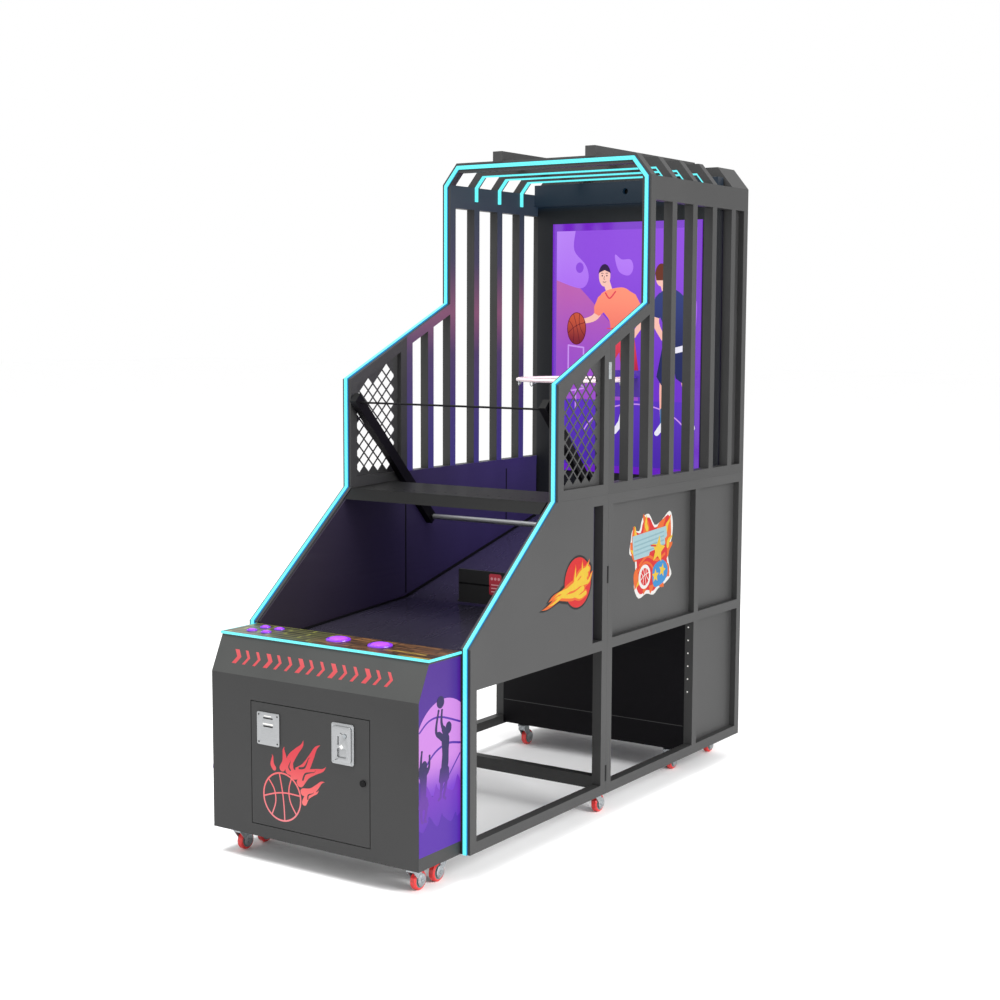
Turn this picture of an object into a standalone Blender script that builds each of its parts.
"""Basketball hoop machine: welded tube modules on casters, ball ramp, hoop, screen and coin cabinet.

Metres, +Z up. X runs across the machine, Y from the player (-Y) to the back (+Y), and the floor is Z = 0.
The origin is on the floor under the middle of the machine.
"""
import math

import bmesh
import bpy
from mathutils import Matrix, Vector

# ---------------------------------------------------------------- driving dimensions
WIDTH = 1.020               # across the two side frames
CABINET_HALF_WIDTH = 0.471
CABINET_DEPTH = 0.248       # control cabinet, front to back
COIN_LIP = 0.012            # how far the coin acceptor stands out of the door
FRONT_LENGTH = 0.940        # front module, from the cabinet to the seam
REAR_LENGTH = 1.200         # rear module, from the seam to the back
TUBE = 0.040                # square frame tube
SHEET = 0.0025              # sheet-metal skins
GAP = 0.0003                # between touching pieces

FRAME_Z = 0.098             # underside of the frames, on the casters
FRONT_POST_TOP = 0.828
LOWER_RAIL_TOP = 0.720
BELT_Z = 1.292              # where the lower modules end and the upper ones begin
WING_POST_TOP = 1.726
CAGE_CORNER_Z = 2.033       # where the sloping rail meets the tall front post
CAGE_SIDE_TOP = 2.541
ROOF_TOP = 2.630
ROOF_RAIL = 0.040           # height of the two rails that lie on the roof ribs
ROOF_RAIL_WIDTH = 0.046
ROOF_RAIL_X = 0.226
ROOF_CORNER_X = 0.438
HEADER_HEIGHT = 0.096       # deep rail along the top of each cage side

LOW_SLOPE_RUN = 0.566       # from the front post back to the wing post
CAGE_SETBACK = 0.312        # from the seam back to the tall front post
CAGE_BAYS = 4               # tall bays between the front post and the display post
DISPLAY_POST_SETBACK = 0.162  # from the display post to the back
CAGE_PITCH = (REAR_LENGTH - CAGE_SETBACK - DISPLAY_POST_SETBACK) / CAGE_BAYS
SHORT_POST_Y = 0.150        # short fence post, from the seam
MID_POST_Y = 0.740          # post that divides the rear module, from the seam
RECESS = 0.026              # how deep the rear panels sit in their frame
SLOT_WIDTH = 0.072          # dark slot between the front side skin and the seam post

LANE_WALL_T = 0.007         # from the frames to the inner face of a lane wall
LANE_HALF_WIDTH = WIDTH / 2 - TUBE - LANE_WALL_T
RAMP_GAP = 0.003
RAMP_T = 0.006
RAMP_FRONT_Z = 0.745
RAMP_BREAK_Z = 0.800
RAMP_BACK_Z = 1.058
RAMP_BREAK_SETBACK = 0.030  # the fold of the ramp, ahead of the seam
LANE_WALL_LOW = 0.700
RAMP_SETBACK = 0.200        # from the end of the ramp to the back
RAMP_END_Y = REAR_LENGTH - RAMP_SETBACK

SHOULDER_Z = 0.682
SLANT_RUN = 0.058
CABINET_TOP = 0.809
DECK_T = 0.012
CABINET_WALL = 0.003

DOOR_LEFT, DOOR_RIGHT = -0.280, 0.261
DOOR_LOW, DOOR_HIGH = 0.145, 0.594
DOOR_GAP = 0.003
DOOR_DEPTH = 0.012
LOCK_X, LOCK_Z = 0.233, 0.370
LOCK_R = 0.009

BIG_BUTTON_R = 0.036
SMALL_BUTTON_R = 0.0145
BUTTON_GAP = 0.0007
BUTTON_DEPTH = 0.018
BUTTON_SIDES = 20
BIG_BUTTONS = ((-0.008, 0.164), (0.181, 0.164))
SMALL_BUTTONS = ((-0.386, 0.125), (-0.386, 0.198), (-0.317, 0.125), (-0.317, 0.198))

SCREEN_HALF_WIDTH = 0.384
SCREEN_LOW, SCREEN_HIGH = 1.272, 2.406
SCREEN_T = 0.022
WALL_T = 0.020
SCREEN_SETBACK = 0.192      # from the face of the screen to the back
SCREEN_Y = REAR_LENGTH - SCREEN_SETBACK
HOOP_R = 0.225
HOOP_ROD_R = 0.008
HOOP_Z = 1.712
HOOP_REACH = 0.468          # ring centre, ahead of the screen

WHEEL_R = 0.035
WHEEL_WIDTH = 0.024
AXLE_R = 0.005
AXLE_GAP = 0.0003
CASTER_TRAIL = 0.030
CASTER_HEAD_R = 0.026
NEON_WIDTH = 0.016
NEON_T = 0.006
NEON_INSET = 0.011

# ---------------------------------------------------------------- places that follow from them
DEPTH = COIN_LIP + CABINET_DEPTH + FRONT_LENGTH + REAR_LENGTH
HALF = WIDTH / 2
INNER = HALF - TUBE                       # inner face of the side frames
CABINET_Y = -DEPTH / 2 + COIN_LIP         # face of the coin door
FRAME_Y = CABINET_Y + CABINET_DEPTH       # front of the frames
SEAM_Y = FRAME_Y + FRONT_LENGTH
BACK_Y = SEAM_Y + REAR_LENGTH
WING_Y = FRAME_Y + LOW_SLOPE_RUN
CAGE_Y = SEAM_Y + CAGE_SETBACK
SLOPE = (CAGE_CORNER_Z - WING_POST_TOP) / (CAGE_Y - WING_Y)
LOWER_RAIL_LOW = LOWER_RAIL_TOP - TUBE
BELT_TOP = BELT_Z + TUBE
DECK_TOP = CABINET_TOP + GAP + DECK_T
FOLD_Y = SEAM_Y - RAMP_BREAK_SETBACK
RAMP_END = SEAM_Y + RAMP_END_Y
SCREEN_FACE = SEAM_Y + SCREEN_Y


def slope_z(y):
    """Height of the sloping top rail's upper edge at a distance y."""
    return WING_POST_TOP + (y - WING_Y) * SLOPE


# ---------------------------------------------------------------- scene and helpers
for old in list(bpy.data.objects):
    bpy.data.objects.remove(old, do_unlink=True)

parts = bpy.data.collections.new("basketball_hoop_machine")
bpy.context.scene.collection.children.link(parts)


def material(name, colour, roughness, metallic=0.0):
    made = bpy.data.materials.new(name)
    made.use_nodes = True
    shader = made.node_tree.nodes["Principled BSDF"]
    shader.inputs["Base Color"].default_value = (*colour, 1.0)
    shader.inputs["Roughness"].default_value = roughness
    shader.inputs["Metallic"].default_value = metallic
    return made


BLACK = material("black_powder_coat", (0.045, 0.045, 0.048), 0.55)
LANE = material("dark_purple_board", (0.030, 0.022, 0.060), 0.35)
BRUSHED = material("brushed_steel", (0.62, 0.62, 0.62), 0.35, 1.0)
ZINC = material("zinc_plate", (0.55, 0.56, 0.58), 0.40, 1.0)
PURPLE = material("purple_button", (0.45, 0.09, 1.00), 0.25)
NEON = material("cyan_light_strip", (0.16, 1.00, 1.00), 0.30)
SCREEN = material("display_glass", (0.20, 0.05, 0.60), 0.12)
TYRE = material("red_tyre", (0.70, 0.03, 0.03), 0.50)
RIM = material("rim_paint", (0.75, 0.62, 0.66), 0.30, 0.3)
DECK = material("deck_laminate", (0.10, 0.05, 0.03), 0.15)

PLANES = {
    "yz": Matrix(((0, 0, 1, 0), (1, 0, 0, 0), (0, 1, 0, 0), (0, 0, 0, 1))),
    "xz": Matrix(((1, 0, 0, 0), (0, 0, -1, 0), (0, 1, 0, 0), (0, 0, 0, 1))),
    "xy": Matrix.Identity(4),
}


def add(name, mesh, finish=None, matrix=None):
    made = bpy.data.objects.new(name, mesh)
    parts.objects.link(made)
    if matrix is not None:
        made.matrix_world = matrix
    if finish is not None and not mesh.materials:
        mesh.materials.append(finish)
    return made


def solid(name, finish, build):
    """An object whose mesh is filled by build(bmesh)."""
    shape = bmesh.new()
    build(shape)
    mesh = bpy.data.meshes.new(name)
    shape.to_mesh(mesh)
    shape.free()
    return add(name, mesh, finish)


def box(name, low, high, finish=BLACK):
    """A box between two corners, with its origin in its middle."""
    low, high = Vector(low), Vector(high)

    def build(shape):
        bmesh.ops.create_cube(shape, size=1.0)
        bmesh.ops.scale(shape, vec=high - low, verts=shape.verts)

    made = solid(name, finish, build)
    made.location = (low + high) / 2
    return made


def rod(name, start, end, radius, finish=BLACK, sides=16):
    """A round bar from start to end."""
    start, end = Vector(start), Vector(end)

    def build(shape):
        bmesh.ops.create_cone(shape, cap_ends=True, segments=sides, radius1=radius, radius2=radius,
                              depth=(end - start).length)

    made = solid(name, finish, build)
    made.rotation_euler = (end - start).to_track_quat("Z", "Y").to_euler()
    made.location = (start + end) / 2
    return made


def turned(name, profile, steps, finish, closed=False):
    """A profile of (radius, height) points, listed down its outer side and turned about local Z."""
    count = len(profile)
    edges = [(i, i + 1) for i in range(count - 1)]
    if closed:
        edges.append((count - 1, 0))
    mesh = bpy.data.meshes.new(name)
    mesh.from_pydata([(r, 0, z) for r, z in profile], edges, [])
    made = add(name, mesh, finish)
    screw = made.modifiers.new("turn", "SCREW")
    screw.steps = screw.render_steps = steps
    screw.use_merge_vertices = True
    screw.merge_threshold = 0.00001
    screw.use_smooth_shade = True
    return made


def bake(made):
    """Replace an object's modifiers or curve by the mesh that they make."""
    bpy.context.view_layer.update()
    graph = bpy.context.evaluated_depsgraph_get()
    mesh = bpy.data.meshes.new_from_object(made.evaluated_get(graph), depsgraph=graph)
    shape = bmesh.new()
    shape.from_mesh(mesh)
    bmesh.ops.remove_doubles(shape, verts=shape.verts, dist=0.00001)
    shape.to_mesh(mesh)
    shape.free()
    name, matrix, finish = made.name, made.matrix_world.copy(), made.data.materials[0]
    bpy.data.objects.remove(made, do_unlink=True)
    mesh.materials.clear()
    mesh.materials.append(finish)
    mesh.name = name
    return add(name, mesh, None, matrix)


def outline(name, plane, points, start, end, holes=(), finish=BLACK):
    """A flat outline with holes, as thick as from start to end along the plane's third axis."""
    curve = bpy.data.curves.new(name, "CURVE")
    curve.dimensions = "2D"
    curve.fill_mode = "BOTH"
    curve.extrude = (end - start) / 2
    curve.materials.append(finish)
    for loop in (points, *holes):
        spline = curve.splines.new("POLY")
        spline.points.add(len(loop) - 1)
        for point, (u, v) in zip(spline.points, loop):
            point.co = (u, v, 0, 1)
        spline.use_cyclic_u = True
    third = {"yz": Vector((1, 0, 0)), "xz": Vector((0, 1, 0)), "xy": Vector((0, 0, 1))}[plane]
    middle = Matrix.Translation(third * (start + end) / 2)
    made = add(name, curve, None, middle @ PLANES[plane])
    return bake(made)


def boolean(target, others, operation):
    for other in others:
        cut = target.modifiers.new(operation.lower(), "BOOLEAN")
        cut.operation = operation
        cut.solver = "EXACT"
        cut.object = other
    made = bake(target)
    for other in others:
        bpy.data.objects.remove(other, do_unlink=True)
    return made


def join(target, *others):
    return boolean(target, others, "UNION")


def cut(target, *others):
    return boolean(target, others, "DIFFERENCE")


def offset(points, distance, closed=True):
    """The points moved sideways by a distance: inwards for a loop, to the right for an open path."""
    if closed:
        area = sum(a[0] * b[1] - b[0] * a[1] for a, b in zip(points, points[1:] + points[:1]))
        distance = -distance if area > 0 else distance
    count = len(points)
    moved = []
    for i, point in enumerate(points):
        before = points[i - 1] if closed or i else None
        after = points[(i + 1) % count] if closed or i < count - 1 else None
        here = Vector(point)
        sides = []
        for a, b in ((before, here), (here, after)):
            if a is not None and b is not None:
                run = (Vector(b) - Vector(a)).normalized()
                sides.append(Vector((run.y, -run.x)))
        total = sides[0] + sides[-1]
        scale = distance * 2 / total.length_squared
        moved.append(tuple(here + total * scale))
    return moved


def rectangle(u0, v0, u1, v1):
    return [(u0, v0), (u1, v0), (u1, v1), (u0, v1)]


def circle(u, v, radius, sides):
    turn = 2 * math.pi / sides
    return [(u + radius * math.cos(i * turn), v + radius * math.sin(i * turn)) for i in range(sides)]


def side_span(side, inner, outer):
    """A span in X, from its inner to its outer distance, on the left (-1) or right (1) side."""
    return (inner, outer) if side > 0 else (-outer, -inner)


# ---------------------------------------------------------------- control cabinet
def cabinet():
    """Sheet-metal shell with a door opening in front and one under the deck."""
    back = FRAME_Y - GAP
    profile = [(CABINET_Y, FRAME_Z), (CABINET_Y, SHOULDER_Z), (CABINET_Y + SLANT_RUN, CABINET_TOP),
               (back, CABINET_TOP), (back, FRAME_Z)]
    shell = outline("cabinet_shell", "yz", profile, -CABINET_HALF_WIDTH, CABINET_HALF_WIDTH)
    inside = CABINET_HALF_WIDTH - CABINET_WALL
    hollow = outline("hollow", "yz", offset(profile, CABINET_WALL), -inside, inside)
    edge = 0.030
    doorway = box("doorway", (DOOR_LEFT - DOOR_GAP, CABINET_Y - 0.01, DOOR_LOW - DOOR_GAP),
                  (DOOR_RIGHT + DOOR_GAP, CABINET_Y + 0.01, DOOR_HIGH + DOOR_GAP))
    top = box("top", (-CABINET_HALF_WIDTH + edge, CABINET_Y + SLANT_RUN + edge / 2, CABINET_TOP - 0.01),
              (CABINET_HALF_WIDTH - edge, back - edge / 2, CABINET_TOP + 0.01))
    cut(shell, hollow, doorway, top)

    tall, wide = 0.160, 0.120
    floor = FRAME_Z + CABINET_WALL + GAP
    near, far = CABINET_Y + 0.045, back - 0.045
    tray = box("cash_box", (-wide, near, floor), (wide, far, floor + tall), ZINC)
    wall = 0.002
    room = box("room", (-wide + wall, near + wall, floor + wall), (wide - wall, far - wall, floor + 2 * tall))
    cut(tray, room)


def button_places():
    """Name, x, y and radius of each push button, the y counted from the door's face."""
    sides = ("left", "right")
    for side, (x, y) in zip(sides, BIG_BUTTONS):
        yield f"start_button_{side}", x, CABINET_Y + y, BIG_BUTTON_R
    for number, (x, y) in enumerate(SMALL_BUTTONS, 1):
        yield f"select_button_{number}", x, CABINET_Y + y, SMALL_BUTTON_R


def deck_and_buttons():
    front, back = CABINET_Y + SLANT_RUN, FRAME_Y - GAP
    holes = [circle(x, y, r + BUTTON_GAP, BUTTON_SIDES) for _, x, y, r in button_places()]
    outline("control_deck", "xy", rectangle(-CABINET_HALF_WIDTH, front, CABINET_HALF_WIDTH, back),
            CABINET_TOP + GAP, DECK_TOP, holes, DECK)
    for name, x, y, r in button_places():
        crown = 0.005 + 0.18 * r
        profile = [(0, crown), (0.55 * r, 0.92 * crown), (0.85 * r, 0.70 * crown), (r, 0.30 * crown),
                   (r, -BUTTON_DEPTH), (0, -BUTTON_DEPTH)]
        turned(name, profile, BUTTON_SIDES, PURPLE).location = (x, y, DECK_TOP)


def coin_door():
    """Folded door with its lock, blanking plate, coin acceptor and return button."""
    back = CABINET_Y + DOOR_DEPTH
    door = box("coin_door", (DOOR_LEFT, CABINET_Y, DOOR_LOW), (DOOR_RIGHT, back, DOOR_HIGH))
    skin = CABINET_WALL
    pan = box("pan", (DOOR_LEFT + skin, CABINET_Y + skin, DOOR_LOW + skin),
              (DOOR_RIGHT - skin, back + skin, DOOR_HIGH - skin))
    bore = rod("bore", (LOCK_X, CABINET_Y - 0.01, LOCK_Z), (LOCK_X, back, LOCK_Z), LOCK_R + AXLE_GAP)
    door = cut(door, pan, bore)
    move_origin(door, (DOOR_LEFT, CABINET_Y, DOOR_LOW))

    face = rod("door_lock", (LOCK_X, CABINET_Y - 0.005, LOCK_Z), (LOCK_X, CABINET_Y - GAP, LOCK_Z), 0.012)
    cam_y = back + 0.001
    cam_t, cam_reach = 0.0025, 0.042
    barrel = rod("barrel", (LOCK_X, CABINET_Y - 0.003, LOCK_Z), (LOCK_X, cam_y + cam_t, LOCK_Z), LOCK_R)
    cam = box("cam", (LOCK_X - 0.006, cam_y, LOCK_Z - 0.006), (LOCK_X + 0.006, cam_y + cam_t / 2,
                                                             LOCK_Z + cam_reach))
    lock = join(face, barrel, cam)
    lock.data.materials.clear()
    lock.data.materials.append(ZINC)
    move_origin(lock, (LOCK_X, CABINET_Y, LOCK_Z))
    coin_fittings()


def coin_fittings():
    left, right, low, high = -0.250, -0.145, 0.442, 0.562
    slots = [rectangle(left + 0.030, z, right - 0.030, z + 0.005) for z in (0.5385, 0.5085)]
    outline("coin_plate", "xz", rectangle(left, low, right, high), CABINET_Y - 0.004, CABINET_Y - GAP,
            slots, BRUSHED)

    left, right, low, high = 0.096, 0.195, 0.424, 0.570
    plate_t, block_t = 0.004, 0.0095
    back = CABINET_Y - GAP
    plate = box("coin_acceptor", (left, back - plate_t, low), (right, back, high), BRUSHED)
    inset = 0.016
    block = box("block", (left + inset, back - block_t, low + inset),
                (right - inset, back - plate_t / 2, high - inset))
    lip = box("lip", (left + 0.004, CABINET_Y - COIN_LIP, high - 0.009), (right - 0.004, back - 0.001,
                                                                        high - 0.005))
    body = join(plate, block, lip)
    middle = (left + right) / 2
    button_z, button_r = 0.528, 0.0075
    slot = box("slot", (middle - 0.018, back - 0.03, 0.494), (middle - 0.013, back - 0.004, 0.524))
    cup = box("cup", (middle - 0.020, back - 0.03, low + 0.026), (middle + 0.020, back - 0.004, low + 0.058))
    well = rod("well", (middle + 0.014, back - 0.03, button_z), (middle + 0.014, back - 0.001, button_z),
               button_r + 0.0005)
    cut(body, slot, cup, well)
    proud, button_t = 0.0015, 0.0065
    face = back - block_t - proud
    rod("coin_return_button", (middle + 0.014, face, button_z), (middle + 0.014, face + button_t, button_z),
        button_r, ZINC)


def move_origin(made, point):
    """Put an object's origin at a point and leave its shape where it is."""
    shift = made.matrix_world.inverted() @ Vector(point)
    made.data.transform(Matrix.Translation(-shift))
    made.matrix_world = made.matrix_world @ Matrix.Translation(shift)


# ---------------------------------------------------------------- side frames
def front_frames(side, tag):
    """Front module's side: tubes with a skin flush outside, and above the belt the wing with its mesh."""
    end = SEAM_Y - GAP
    outer = [(FRAME_Y, FRAME_Z), (FRAME_Y, FRONT_POST_TOP), (WING_Y, BELT_Z), (end, BELT_Z), (end, FRAME_Z)]
    low_bay = offset(rectangle(FRAME_Y, FRAME_Z, end, LOWER_RAIL_TOP), TUBE)
    high_bay = offset([(FRAME_Y, LOWER_RAIL_LOW), *outer[1:4], (end, LOWER_RAIL_LOW)], TUBE)
    skin = 0.0020
    lap = 0.0005
    tubes = outline(f"front_frame_{tag}", "yz", outer, *side_span(side, INNER, HALF - skin), (low_bay, high_bay))
    slot = rectangle(end - TUBE - SLOT_WIDTH, LOWER_RAIL_TOP, end - TUBE, BELT_Z - TUBE)
    panel = outline("panel", "yz", outer, *side_span(side, HALF - skin - lap, HALF), (low_bay, slot))
    join(tubes, panel)

    low = BELT_Z + GAP
    wing = [(WING_Y, low), (WING_Y, WING_POST_TOP), (end, slope_z(end)), (end, low)]
    opening = offset(wing, TUBE)
    outline(f"wing_frame_{tag}", "yz", wing, *side_span(side, INNER, HALF), (opening,))
    sheet = offset(opening, GAP)
    centre = HALF - TUBE / 2
    outline(f"wing_mesh_{tag}", "yz", sheet, *side_span(side, centre - SHEET / 2, centre + SHEET / 2),
            diamonds(sheet))


def diamonds(edge):
    """Diamond holes in rows, each one whole inside the sheet's margin."""
    pitch_y, pitch_z, web, margin = 0.060, 0.056, 0.0042, 0.012
    inside = offset(edge, margin)
    wide, high = pitch_y / 2 - web, pitch_z / 2 - web
    low = min(v for _, v in inside) + high
    left = min(u for u, _ in inside) + wide
    holes = []
    for row in range(40):
        for column in range(20):
            u = left + column * pitch_y + (row % 2) * pitch_y / 2
            v = low + row * pitch_z / 2
            corners = [(u - wide, v), (u, v - high), (u + wide, v), (u, v + high)]
            if all(within(inside, corner) for corner in corners):
                holes.append(corners)
    return holes


def within(loop, point):
    """True where a point is inside a convex loop."""
    turns = [(b[0] - a[0]) * (point[1] - a[1]) - (b[1] - a[1]) * (point[0] - a[0])
             for a, b in zip(loop, loop[1:] + loop[:1])]
    slack = 0.000001
    return all(t >= -slack for t in turns) or all(t <= slack for t in turns)


def rear_frames(side, tag):
    """Rear module's side: four bays, three of them closed by a recessed panel."""
    start = SEAM_Y + GAP
    mid = SEAM_Y + MID_POST_Y
    outer = rectangle(start, FRAME_Z, BACK_Y, BELT_Z)
    bays = [rectangle(start, FRAME_Z, mid + TUBE, LOWER_RAIL_TOP),
            rectangle(mid, FRAME_Z, BACK_Y, LOWER_RAIL_TOP),
            rectangle(start, LOWER_RAIL_LOW, mid + TUBE, BELT_Z),
            rectangle(mid, LOWER_RAIL_LOW, BACK_Y, BELT_Z)]
    slab = outline(f"rear_frame_{tag}", "yz", outer, *side_span(side, INNER, HALF))
    through = side_span(side, INNER - TUBE, HALF + TUBE)
    tubes = cut(slab, *[outline("bay", "yz", offset(bay, TUBE), *through) for bay in bays])
    lap = 0.006
    first, last = start + TUBE - lap, BACK_Y - TUBE + lap
    step, low, high = mid + TUBE - lap, FRAME_Z + TUBE - lap, BELT_Z - TUBE + lap
    rail = LOWER_RAIL_TOP - lap
    panel = [(first, rail), (step, rail), (step, low), (last, low), (last, high), (first, high)]
    join(tubes, outline("panel", "yz", panel, *side_span(side, HALF - RECESS - SHEET, HALF - RECESS)))


def cage_posts():
    """Front edge of each tall post, from the front post to the display post."""
    return [CAGE_Y + i * CAGE_PITCH for i in range(CAGE_BAYS + 1)]


def cage_sides(side, tag):
    """Cage side: short fence bays under the slope, tall bays, and a closed bay at the back."""
    start, low = SEAM_Y + GAP, BELT_Z + GAP
    short = SEAM_Y + SHORT_POST_Y
    outer = [(start, low), (start, slope_z(start)), (CAGE_Y, CAGE_CORNER_Z), (CAGE_Y, CAGE_SIDE_TOP),
             (BACK_Y, CAGE_SIDE_TOP), (BACK_Y, low)]
    holes = []
    for first, last in ((start, short + TUBE), (short, CAGE_Y + TUBE)):
        bay = [(first, low), (first, slope_z(first)), (last, slope_z(last)), (last, low)]
        holes.append(offset(bay, TUBE))
    posts = cage_posts()
    top = CAGE_SIDE_TOP - HEADER_HEIGHT
    for first, last in zip(posts, posts[1:] + [BACK_Y - TUBE]):
        holes.append(rectangle(first + TUBE, low + TUBE, last, top))
    tubes = outline(f"cage_side_{tag}", "yz", outer, *side_span(side, INNER, HALF), holes)
    lap = 0.006
    cover = rectangle(posts[-1] + TUBE - lap, low + TUBE - lap, BACK_Y - TUBE + lap, top + lap)
    join(tubes, outline("cover", "yz", cover, *side_span(side, HALF - RECESS - SHEET, HALF - RECESS)))


def roof():
    """Chamfered ribs across the cage, a cover over the back bay, and two rails lying on them."""
    foot = CAGE_SIDE_TOP + GAP
    lean = (HALF - ROOF_CORNER_X) / (ROOF_TOP - foot)
    under = ROOF_TOP - TUBE
    inner_x = INNER - (under - foot) * lean
    band = [(HALF, foot), (ROOF_CORNER_X, ROOF_TOP), (-ROOF_CORNER_X, ROOF_TOP), (-HALF, foot),
            (-INNER, foot), (-inner_x, under), (inner_x, under), (INNER, foot)]
    posts = cage_posts()
    frame = outline("roof_frame", "xz", band, posts[0], posts[0] + TUBE)
    others = [outline("rib", "xz", band, y, y + TUBE) for y in posts[1:-1]]
    others.append(outline("cover", "xz", band, posts[-1], BACK_Y))
    sink = 0.004
    for x in (-ROOF_RAIL_X, ROOF_RAIL_X):
        others.append(box("rail", (x - ROOF_RAIL_WIDTH / 2, posts[0] - 0.002, ROOF_TOP - sink),
                          (x + ROOF_RAIL_WIDTH / 2, BACK_Y - 0.010, ROOF_TOP + ROOF_RAIL)))
    join(frame, *others)


def neon():
    """Light strip along the front edges: up both sides, over the chamfers and across the roof."""
    path = [(FRAME_Y, FRAME_Z), (FRAME_Y, FRONT_POST_TOP), (WING_Y, BELT_Z), (WING_Y, WING_POST_TOP),
            (CAGE_Y, CAGE_CORNER_Z), (CAGE_Y, CAGE_CORNER_Z + 0.03)]
    near, far = offset(path, -GAP, False), offset(path, -GAP - NEON_T, False)
    reach = HALF - NEON_INSET
    strips = []
    for side in (1, -1):
        span = side_span(side, reach - NEON_WIDTH, reach)
        strips.append(outline("light_strip", "yz", far + near[::-1], *span))
    trim = 0.0002
    start = CAGE_CORNER_Z + 0.01
    arch = [(HALF, start), (HALF, CAGE_SIDE_TOP), (ROOF_CORNER_X, ROOF_TOP),
            (-ROOF_CORNER_X, ROOF_TOP), (-HALF, CAGE_SIDE_TOP), (-HALF, start)]
    outside = offset(arch, -NEON_INSET - trim, False)
    inside = offset(arch, -NEON_INSET - NEON_WIDTH + trim, False)
    band = outline("band", "xz", outside + inside[::-1], CAGE_Y - GAP - NEON_T + trim, CAGE_Y - GAP - trim)
    made = join(band, *strips)
    made.name = "neon_arch"
    made.data.materials.clear()
    made.data.materials.append(NEON)


# ---------------------------------------------------------------- inside the lane
def lane():
    """Lane walls, folded ramp, ball gate, shelf beam and cross tubes."""
    rim = 0.006
    front = FRAME_Y + rim
    slope_low = (BELT_Z - FRONT_POST_TOP) / (WING_Y - FRAME_Y)
    wall = [(front, LANE_WALL_LOW), (front, FRONT_POST_TOP - rim + rim * slope_low), (WING_Y + rim, BELT_Z - rim),
            (SEAM_Y, BELT_Z - rim), (SEAM_Y, BELT_TOP), (RAMP_END, BELT_TOP), (RAMP_END, LANE_WALL_LOW)]
    for side, tag in ((-1, "left"), (1, "right")):
        outline(f"lane_wall_{tag}", "yz", wall, *side_span(side, LANE_HALF_WIDTH, INNER - GAP), (), LANE)

    edge = LANE_HALF_WIDTH - RAMP_GAP
    low = [(FRAME_Y + 0.001, RAMP_FRONT_Z), (FOLD_Y - GAP, RAMP_BREAK_Z)]
    high = [(FOLD_Y, RAMP_BREAK_Z), (RAMP_END, RAMP_BACK_Z)]
    for name, line in (("ramp_front", low), ("ramp_rear", high)):
        under = [(y, z - RAMP_T) for y, z in line[::-1]]
        outline(name, "yz", line + under, -edge, edge, (), LANE)

    gate_half, gate_t, gate_high, barrel_r = 0.178, 0.012, 0.145, 0.006
    axis_z = RAMP_BREAK_Z + 0.012
    axis_y = FOLD_Y + 0.004
    plate = box("ball_gate", (-gate_half, axis_y - 0.004 - gate_t / 2, axis_z - 0.004),
                (gate_half, axis_y - 0.004 + gate_t / 2, RAMP_BREAK_Z + gate_high))
    barrel = rod("barrel", (-gate_half - 0.008, axis_y, axis_z), (gate_half + 0.008, axis_y, axis_z), barrel_r)
    move_origin(join(plate, barrel), (0, axis_y, axis_z))

    beam_edge = LANE_HALF_WIDTH - GAP
    depth, drop, rise, t = 0.250, 0.040, 0.010, 0.005
    lean = 1 / slope_low
    ridge = WING_Y - 0.004
    beam = [(ridge - drop * lean, BELT_Z - 0.003 - drop), (ridge, BELT_Z - 0.003),
            (ridge + depth, BELT_Z - 0.003 + rise), (ridge + depth, BELT_Z - 0.003 + rise - t),
            (ridge + 0.010, BELT_Z - 0.003 - t), (ridge + 0.010, BELT_Z - 0.003 - drop)]
    outline("shelf_beam", "yz", beam, -beam_edge, beam_edge)

    inside = INNER - GAP
    box("front_cross_tube", (-inside, FRAME_Y, FRAME_Z), (inside, FRAME_Y + TUBE, FRAME_Z + TUBE))
    lift, tall = 0.024, 0.050
    box("seam_cross_tube", (-inside, SEAM_Y - GAP - TUBE, FRAME_Z + lift),
        (inside, SEAM_Y - GAP, FRAME_Z + lift + tall))


def net_frame():
    """Two sloping arms inside the wings, tied by a thin rod above and a bar below."""
    top, bottom = (WING_Y - 0.001, 1.655), (SEAM_Y + 0.143, 1.115)
    width, outer_x, arm_t = 0.045, LANE_HALF_WIDTH - 0.001, 0.030
    run = Vector((bottom[0] - top[0], bottom[1] - top[1])).normalized()
    across = Vector((-run.y, run.x)) * width / 2
    corners = [tuple(Vector(p) + s * across) for p, s in ((top, 1), (top, -1), (bottom, -1), (bottom, 1))]
    arms = [outline("net_frame", "yz", corners, *side_span(side, outer_x - arm_t, outer_x)) for side in (1, -1)]
    tie = outer_x - 0.010
    inward = Vector(top) + 0.030 * run
    cord = rod("cord", (-tie, inward.x, inward.y), (tie, inward.x, inward.y), 0.004, sides=12)
    end = Vector(bottom) - 0.020 * run
    bar = rod("bar", (-tie, end.x, end.y), (tie, end.x, end.y), 0.010, sides=12)
    join(arms[0], arms[1], cord, bar)


def hoop():
    """Ring with two arms and a plate on the screen's face."""
    centre = SCREEN_FACE - HOOP_REACH
    bpy.ops.mesh.primitive_torus_add(major_radius=HOOP_R, minor_radius=HOOP_ROD_R, major_segments=36,
                                     minor_segments=8, location=(0, centre, HOOP_Z))
    ring = bpy.context.object
    ring.name = "hoop"
    for home in list(ring.users_collection):
        home.objects.unlink(ring)
    parts.objects.link(ring)
    ring.data.materials.append(RIM)
    face = SCREEN_FACE - GAP
    plate_t, arm_half, arm_t = 0.006, 0.010, 0.010
    spread, start = 0.062, centre + HOOP_R - 0.012
    arms = [box("arm", (x - arm_half, start, HOOP_Z - arm_t / 2), (x + arm_half, face - 0.002,
                                                                  HOOP_Z + arm_t / 2)) for x in (-spread, spread)]
    plate = box("plate", (-0.095, face - plate_t, HOOP_Z - 0.090), (0.095, face, HOOP_Z + 0.030))
    join(ring, *arms, plate)


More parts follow.
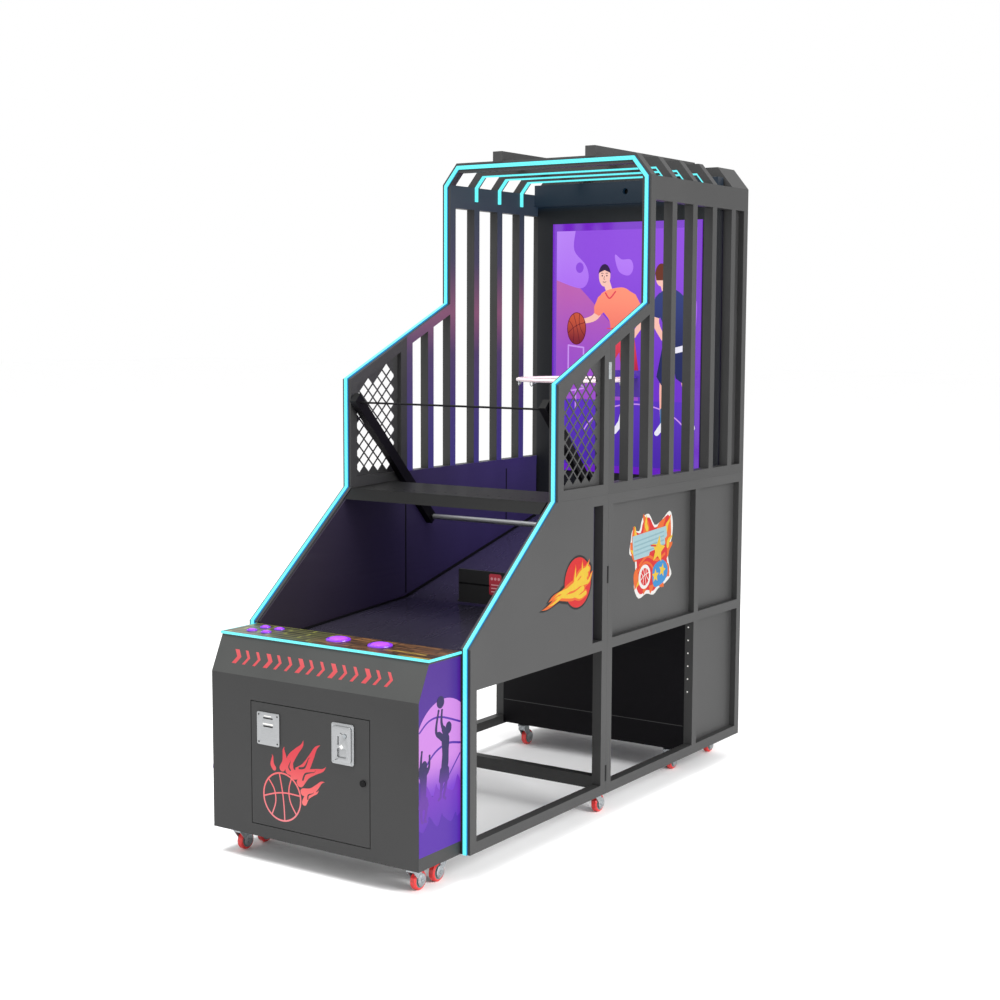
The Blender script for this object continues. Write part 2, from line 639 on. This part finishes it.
def back_wall():
    """Display wall with its header, screen, rear panel and the partition under the ramp."""
    inside = INNER - GAP
    low, high = RAMP_BACK_Z + 0.006, ROOF_TOP - TUBE - 0.006
    front = SCREEN_FACE + 0.004
    window = rectangle(-SCREEN_HALF_WIDTH - GAP, SCREEN_LOW - GAP, SCREEN_HALF_WIDTH + GAP, SCREEN_HIGH + GAP)
    wall = outline("display_wall", "xz", rectangle(-inside, low, inside, high), front, front + WALL_T, (window,))
    reach, header_low = 0.030, 2.487
    header = box("header", (-inside, front - reach, header_low), (inside, front + 0.002, high))
    hole = rod("hole", (0.010, front - 0.1, 2.540), (0.010, front + 0.1, 2.540), 0.014)
    cut(join(wall, header), hole)
    box("display_screen", (-SCREEN_HALF_WIDTH, SCREEN_FACE, SCREEN_LOW),
        (SCREEN_HALF_WIDTH, SCREEN_FACE + SCREEN_T, SCREEN_HIGH), SCREEN)

    panel_y = BACK_Y - 0.010
    box("back_panel", (-inside, panel_y, FRAME_Z + 0.010), (inside, panel_y + 0.003, CAGE_SIDE_TOP - 0.010))
    mid = SEAM_Y + MID_POST_Y
    box("partition", (-inside, mid, FRAME_Z + 0.008), (inside, mid + SHEET, LOWER_RAIL_TOP - 0.030))


# ---------------------------------------------------------------- casters
def caster_places():
    """Name, x, y and heading of each caster: the heading is where its wheel trails, 1 back and -1 ahead."""
    rows = (("cabinet", 0.400, CABINET_Y + 0.062, 1), ("front", 0.400, FRAME_Y - 0.018, -1),
            ("seam", 0.440, SEAM_Y + 0.030, 1), ("mid", 0.380, SEAM_Y + 0.775, 1),
            ("rear", 0.380, BACK_Y - 0.070, 1))
    for row, x, y, heading in rows:
        for side, tag in ((-1, "left"), (1, "right")):
            yield f"{row}_{tag}", side * x, y, heading


def fork_mesh():
    """Swivel head, two legs and the axle, about the swivel's axis at the frame's underside."""
    drop = FRAME_Z - WHEEL_R
    leg_x, leg_t = WHEEL_WIDTH / 2 + 0.002, 0.003
    head_t = 0.008
    head = rod("fork", (0, 0, -GAP - head_t), (0, 0, -GAP), CASTER_HEAD_R, ZINC, sides=12)
    clear = drop - WHEEL_R - 0.004
    crown = box("crown", (-leg_x - leg_t, -0.017, -clear), (leg_x + leg_t, 0.022, -GAP - head_t / 2))
    leg = [(-0.017, -clear + 0.002), (0.022, -clear + 0.002), (CASTER_TRAIL + 0.010, -drop + 0.004),
           (CASTER_TRAIL + 0.006, -drop - 0.009), (CASTER_TRAIL - 0.006, -drop - 0.009)]
    legs = [outline("leg", "yz", leg, *side_span(side, leg_x, leg_x + leg_t)) for side in (1, -1)]
    axle = rod("axle", (-leg_x - leg_t - 0.002, CASTER_TRAIL, -drop), (leg_x + leg_t + 0.002, CASTER_TRAIL, -drop),
               AXLE_R, sides=8)
    made = join(head, crown, *legs, axle)
    mesh = made.data
    mesh.transform(made.matrix_world)
    bpy.data.objects.remove(made, do_unlink=True)
    mesh.materials.clear()
    mesh.materials.append(ZINC)
    return mesh


def wheel_mesh():
    """Tyre and hub in one solid of revolution, about local Z, with a bore for the axle."""
    bore, half, shoulder = AXLE_R + AXLE_GAP, WHEEL_WIDTH / 2, 0.004
    profile = [(bore, half), (WHEEL_R - shoulder, half), (WHEEL_R, half - shoulder),
               (WHEEL_R, -half + shoulder), (WHEEL_R - shoulder, -half), (bore, -half)]
    made = bake(turned("wheel", profile, 16, TYRE, closed=True))
    mesh = made.data
    bpy.data.objects.remove(made, do_unlink=True)
    return mesh


def casters():
    fork, wheel = fork_mesh(), wheel_mesh()
    for tag, x, y, heading in caster_places():
        turn = 0 if heading > 0 else math.pi
        swivel = add(f"caster_fork_{tag}", fork)
        swivel.location = (x, y, FRAME_Z)
        swivel.rotation_euler = (0, 0, turn)
        roller = add(f"caster_wheel_{tag}", wheel)
        roller.rotation_euler = (0, math.pi / 2, 0)
        roller.location = (x, y + heading * CASTER_TRAIL, WHEEL_R)


# ---------------------------------------------------------------- assembly
cabinet()
deck_and_buttons()
coin_door()
for hand, word in ((-1, "left"), (1, "right")):
    front_frames(hand, word)
    rear_frames(hand, word)
    cage_sides(hand, word)
roof()
neon()
lane()
net_frame()
hoop()
back_wall()
casters()
